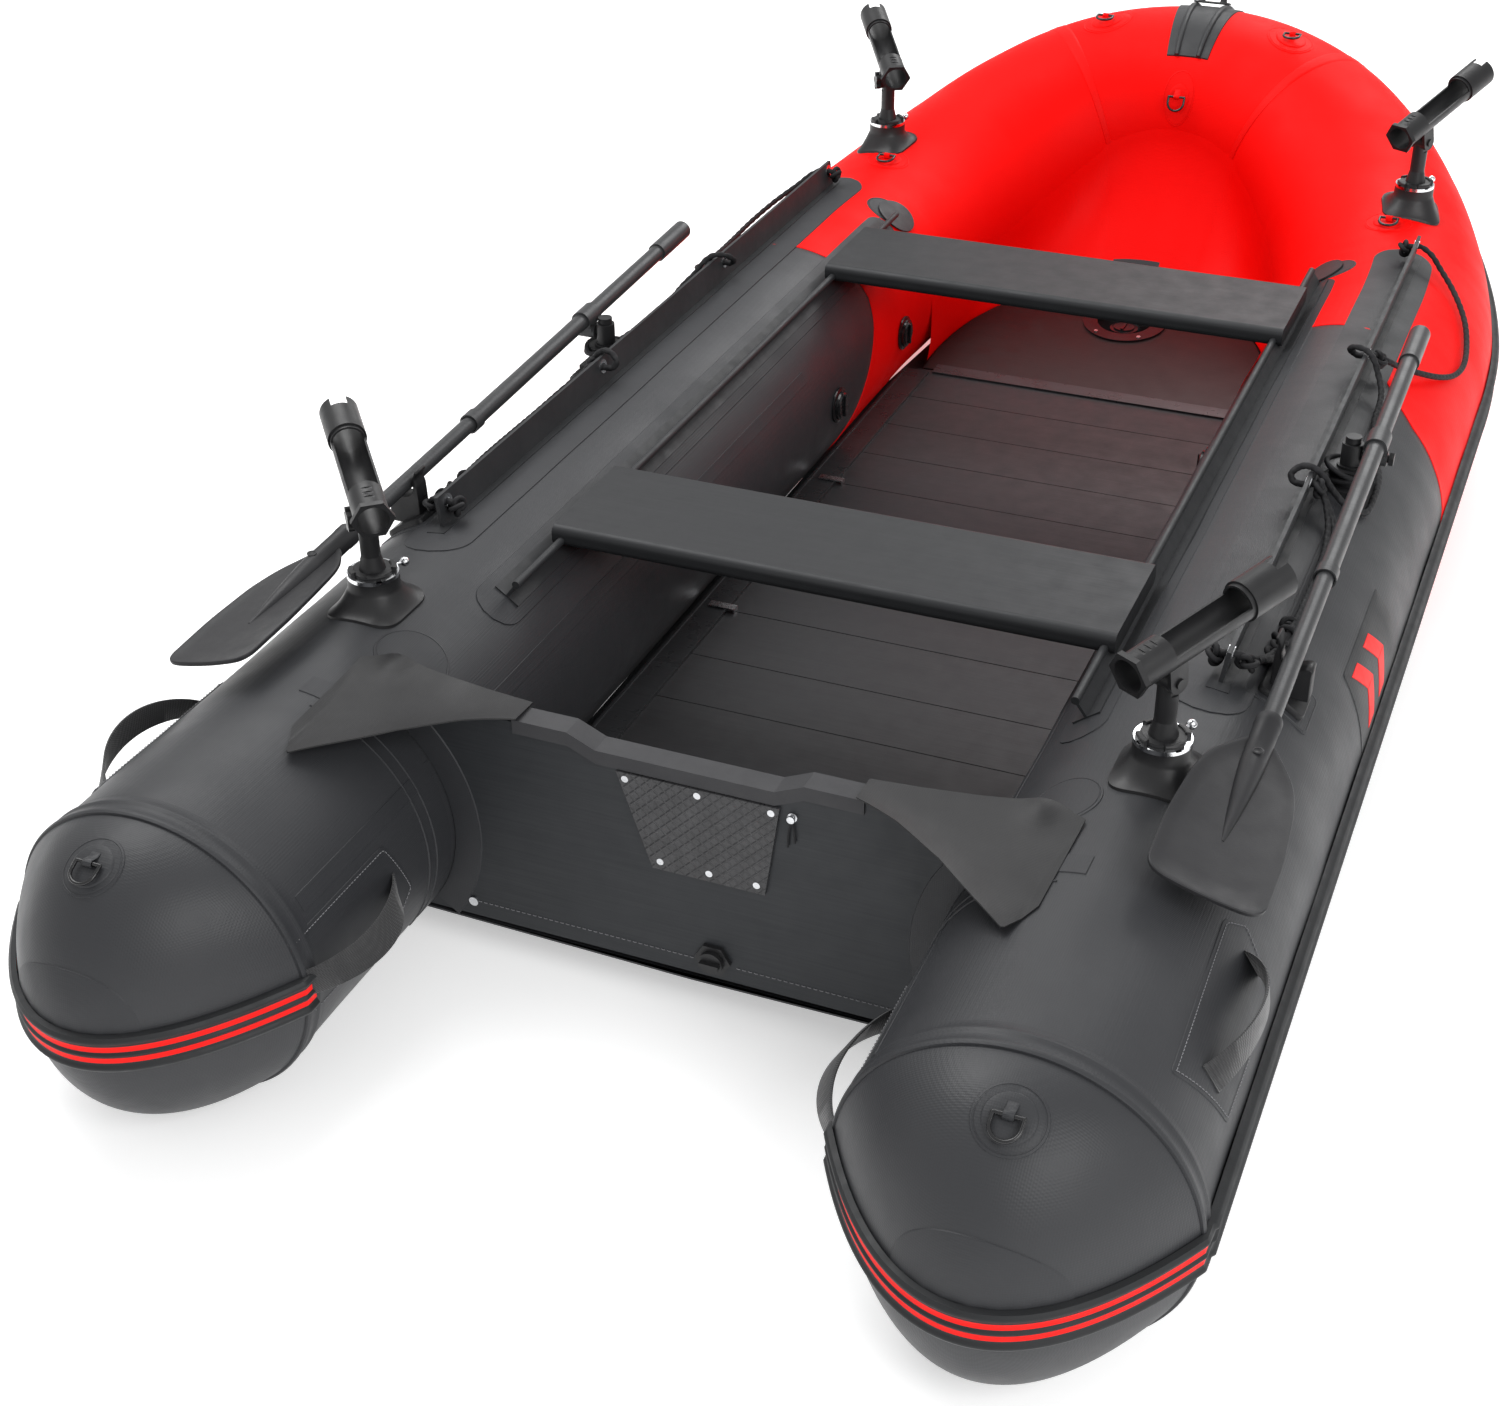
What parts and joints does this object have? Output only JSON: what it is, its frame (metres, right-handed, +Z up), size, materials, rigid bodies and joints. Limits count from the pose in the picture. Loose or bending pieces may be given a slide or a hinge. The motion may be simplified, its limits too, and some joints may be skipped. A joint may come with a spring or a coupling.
{
  "type": "inflatable dinghy",
  "caption": "Inflatable boat with a raised rounded bow, pointed stern cones, wooden transom, aluminium floor, sliding seats, stowed oars, grab ropes and swivelling rod holders.",
  "frame": {"origin": "on the ground under the middle of the hull", "axes": "+X to starboard, +Y to the bow, +Z up"},
  "size_m": [1.5712, 3.5838, 0.6986],
  "materials": {
    "port_tube": "satin PVC-coated fabric",
    "starboard_tube": "satin PVC-coated fabric",
    "bow_tube": "satin PVC-coated fabric",
    "stern_cones": "satin PVC-coated fabric",
    "tube_bulkheads": "matt coated fabric",
    "rubbing_strakes": "satin ribbed PVC",
    "hull_bottom": "satin PVC-coated fabric",
    "keel_tube": "satin PVC-coated fabric",
    "floor_panels": "dark anodised, grooved",
    "bow_floorboard": "dark coated plywood",
    "floor_stringers": "black anodised",
    "stringer_clips": "satin",
    "hatch_ring": "fine grain",
    "air_valves": "semi-gloss",
    "transom_board": "coated plywood",
    "transom_cap": "satin",
    "motor_pads": "cross-hatched",
    "machine_screws": "bright",
    "transom_flaps": "satin PVC-coated fabric",
    "drain_valve": "satin",
    "seat_rails": "satin",
    "rope_rails": "satin",
    "rope_eyelets": "bright",
    "grab_rope_port": "braided",
    "grab_rope_starboard": "braided",
    "oarlock_bases": "satin",
    "oar_clips": "satin",
    "rod_bases": "fine grain",
    "rod_rings": "polished",
    "carry_handles": "webbing",
    "fabric_patches": "satin PVC-coated fabric",
    "bow_strip": "satin",
    "seat": "dark coated plywood",
    "cap": "semi-gloss",
    "yoke": "black coated steel",
    "oar_shaft": "dark anodised",
    "oar_blade": "fine grain",
    "rod_part": "fine grain",
    "d_ring": "black coated steel"
  },
  "bodies": {
    "hull": {"port_tube": "port_tube", "starboard_tube": "starboard_tube", "bow_tube": "bow_tube", "stern_cones": "stern_cones", "tube_bulkheads": "tube_bulkheads", "rubbing_strakes": "rubbing_strakes", "hull_bottom": "hull_bottom", "keel_tube": "keel_tube", "floor_panels": "floor_panels", "bow_floorboard": "bow_floorboard", "floor_stringers": "floor_stringers", "stringer_clips": "stringer_clips", "hatch_ring": "hatch_ring", "air_valves": "air_valves", "transom_board": "transom_board", "transom_cap": "transom_cap", "motor_pads": "motor_pads", "machine_screws": "machine_screws", "transom_flaps": "transom_flaps", "drain_valve": "drain_valve", "seat_rails": "seat_rails", "rope_rails": "rope_rails", "rope_eyelets": "rope_eyelets", "grab_rope_port": "grab_rope_port", "grab_rope_starboard": "grab_rope_starboard", "oarlock_bases": "oarlock_bases", "oar_clips": "oar_clips", "rod_bases": "rod_bases", "rod_rings": "rod_rings", "carry_handles": "carry_handles", "fabric_patches": "fabric_patches", "bow_strip": "bow_strip"},
    "seat_front": {"seat_front": "seat"},
    "seat_rear": {"seat_rear": "seat"},
    "drain_cap": {"drain_cap": "cap"},
    "valve_cap_port": {"valve_cap_port": "cap"},
    "valve_cap_starboard": {"valve_cap_starboard": "cap"},
    "valve_cap_bow": {"valve_cap_bow": "cap"},
    "oar_yoke_port": {"oar_yoke_port": "yoke"},
    "oar_port": {"oar_shaft_port": "oar_shaft", "oar_blade_port": "oar_blade"},
    "oar_yoke_starboard": {"oar_yoke_starboard": "yoke"},
    "oar_starboard": {"oar_shaft_starboard": "oar_shaft", "oar_blade_starboard": "oar_blade"},
    "rod_post_stern_port": {"rod_post_stern_port": "rod_part"},
    "rod_cradle_stern_port": {"rod_cradle_stern_port": "rod_part"},
    "rod_knob_stern_port": {"rod_knob_stern_port": "rod_part"},
    "rod_post_stern_starboard": {"rod_post_stern_starboard": "rod_part"},
    "rod_cradle_stern_starboard": {"rod_cradle_stern_starboard": "rod_part"},
    "rod_knob_stern_starboard": {"rod_knob_stern_starboard": "rod_part"},
    "rod_post_bow_port": {"rod_post_bow_port": "rod_part"},
    "rod_cradle_bow_port": {"rod_cradle_bow_port": "rod_part"},
    "rod_knob_bow_port": {"rod_knob_bow_port": "rod_part"},
    "rod_post_bow_starboard": {"rod_post_bow_starboard": "rod_part"},
    "rod_cradle_bow_starboard": {"rod_cradle_bow_starboard": "rod_part"},
    "rod_knob_bow_starboard": {"rod_knob_bow_starboard": "rod_part"},
    "d_rings_stern": {"d_rings_stern": "d_ring"},
    "d_rings_side": {"d_rings_side": "d_ring"},
    "d_rings_bow": {"d_rings_bow": "d_ring"},
    "d_ring_towing": {"d_ring_towing": "d_ring"}
  },
  "joints": [
    {"name": "seat_front_slide", "type": "slide", "parent": "hull", "child": "seat_front", "axis": [0, 1, 0], "range_m": [-0.8, 0.13]},
    {"name": "seat_rear_slide", "type": "slide", "parent": "hull", "child": "seat_rear", "axis": [0, 1, 0], "range_m": [-0.14, 0.86]},
    {"name": "drain_cap_turn", "type": "hinge", "parent": "hull", "child": "drain_cap", "pos_m": [0.035, -1.207, 0.1], "axis": [0, -1, 0], "range_deg": [0, 90]},
    {"name": "valve_cap_port_turn", "type": "hinge", "parent": "hull", "child": "valve_cap_port", "pos_m": [-0.35, 0.259, 0.21], "axis": [1, 0, 0], "range_deg": [0, 90]},
    {"name": "valve_cap_starboard_turn", "type": "hinge", "parent": "hull", "child": "valve_cap_starboard", "pos_m": [0.35, 0.259, 0.21], "axis": [-1, 0, 0], "range_deg": [0, 90]},
    {"name": "valve_cap_bow_turn", "type": "hinge", "parent": "hull", "child": "valve_cap_bow", "pos_m": [-0.35, 0.626, 0.21], "axis": [1, 0, 0], "range_deg": [0, 90]},
    {"name": "oar_swing_port", "type": "hinge", "parent": "hull", "child": "oar_yoke_port", "pos_m": [-0.639, -0.12, 0.461], "axis": [0, 0, -1], "range_deg": [0, 110]},
    {"name": "oar_dip_port", "type": "hinge", "parent": "oar_yoke_port", "child": "oar_port", "pos_m": [-0.675, -0.12, 0.461], "axis": [1, 0, 0], "range_deg": [-6, 0]},
    {"name": "oar_swing_starboard", "type": "hinge", "parent": "hull", "child": "oar_yoke_starboard", "pos_m": [0.639, -0.12, 0.461], "axis": [0, 0, 1], "range_deg": [0, 110]},
    {"name": "oar_dip_starboard", "type": "hinge", "parent": "oar_yoke_starboard", "child": "oar_starboard", "pos_m": [0.675, -0.12, 0.461], "axis": [1, 0, 0], "range_deg": [-6, 0]},
    {"name": "rod_swivel_stern_port", "type": "hinge", "parent": "hull", "child": "rod_post_stern_port", "pos_m": [-0.565, -1.015, 0.47], "axis": [0, 0, 1], "range_deg": [-180, 180]},
    {"name": "rod_tilt_stern_port", "type": "hinge", "parent": "rod_post_stern_port", "child": "rod_cradle_stern_port", "pos_m": [-0.565, -1.015, 0.555], "axis": [0.7547, 0.6561, 0], "range_deg": [-10, 70]},
    {"name": "rod_knob_stern_port", "type": "hinge", "parent": "rod_cradle_stern_port", "child": "rod_knob_stern_port", "pos_m": [-0.565, -1.015, 0.555], "axis": [0.7547, 0.6561, 0], "range_deg": [0, 180]},
    {"name": "rod_swivel_stern_starboard", "type": "hinge", "parent": "hull", "child": "rod_post_stern_starboard", "pos_m": [0.565, -1.015, 0.47], "axis": [0, 0, 1], "range_deg": [-180, 180]},
    {"name": "rod_tilt_stern_starboard", "type": "hinge", "parent": "rod_post_stern_starboard", "child": "rod_cradle_stern_starboard", "pos_m": [0.565, -1.015, 0.555], "axis": [0.866, -0.5, 0], "range_deg": [-10, 70]},
    {"name": "rod_knob_stern_starboard", "type": "hinge", "parent": "rod_cradle_stern_starboard", "child": "rod_knob_stern_starboard", "pos_m": [0.565, -1.015, 0.555], "axis": [0.866, -0.5, 0], "range_deg": [0, 180]},
    {"name": "rod_swivel_bow_port", "type": "hinge", "parent": "hull", "child": "rod_post_bow_port", "pos_m": [-0.55, 1.065, 0.49], "axis": [0, 0, 1], "range_deg": [-180, 180]},
    {"name": "rod_tilt_bow_port", "type": "hinge", "parent": "rod_post_bow_port", "child": "rod_cradle_bow_port", "pos_m": [-0.55, 1.065, 0.575], "axis": [0.8572, 0.515, 0], "range_deg": [-14, 66]},
    {"name": "rod_knob_bow_port", "type": "hinge", "parent": "rod_cradle_bow_port", "child": "rod_knob_bow_port", "pos_m": [-0.55, 1.065, 0.575], "axis": [0.8572, 0.515, 0], "range_deg": [0, 180]},
    {"name": "rod_swivel_bow_starboard", "type": "hinge", "parent": "hull", "child": "rod_post_bow_starboard", "pos_m": [0.55, 1.065, 0.49], "axis": [0, 0, 1], "range_deg": [-180, 180]},
    {"name": "rod_tilt_bow_starboard", "type": "hinge", "parent": "rod_post_bow_starboard", "child": "rod_cradle_bow_starboard", "pos_m": [0.55, 1.065, 0.575], "axis": [0.8988, -0.4384, 0], "range_deg": [-17, 63]},
    {"name": "rod_knob_bow_starboard", "type": "hinge", "parent": "rod_cradle_bow_starboard", "child": "rod_knob_bow_starboard", "pos_m": [0.55, 1.065, 0.575], "axis": [0.8988, -0.4384, 0], "range_deg": [0, 180]},
    {"name": "rings_stern_lift", "type": "hinge", "parent": "hull", "child": "d_rings_stern", "pos_m": [0, -1.66612, 0.40826], "axis": [-1, 0, 0], "range_deg": [0, 150]},
    {"name": "rings_side_lift", "type": "hinge", "parent": "hull", "child": "d_rings_side", "pos_m": [0, 0.9839, 0.44291], "axis": [-1, 0, 0], "range_deg": [0, 150]},
    {"name": "rings_bow_lift", "type": "hinge", "parent": "hull", "child": "d_rings_bow", "pos_m": [0, 1.51451, 0.62898], "axis": [-1, 0, 0], "range_deg": [0, 150]},
    {"name": "ring_towing_lift", "type": "hinge", "parent": "hull", "child": "d_ring_towing", "pos_m": [0, 1.36466, 0.51296], "axis": [-1, 0, 0], "range_deg": [0, 115]}
  ]
}
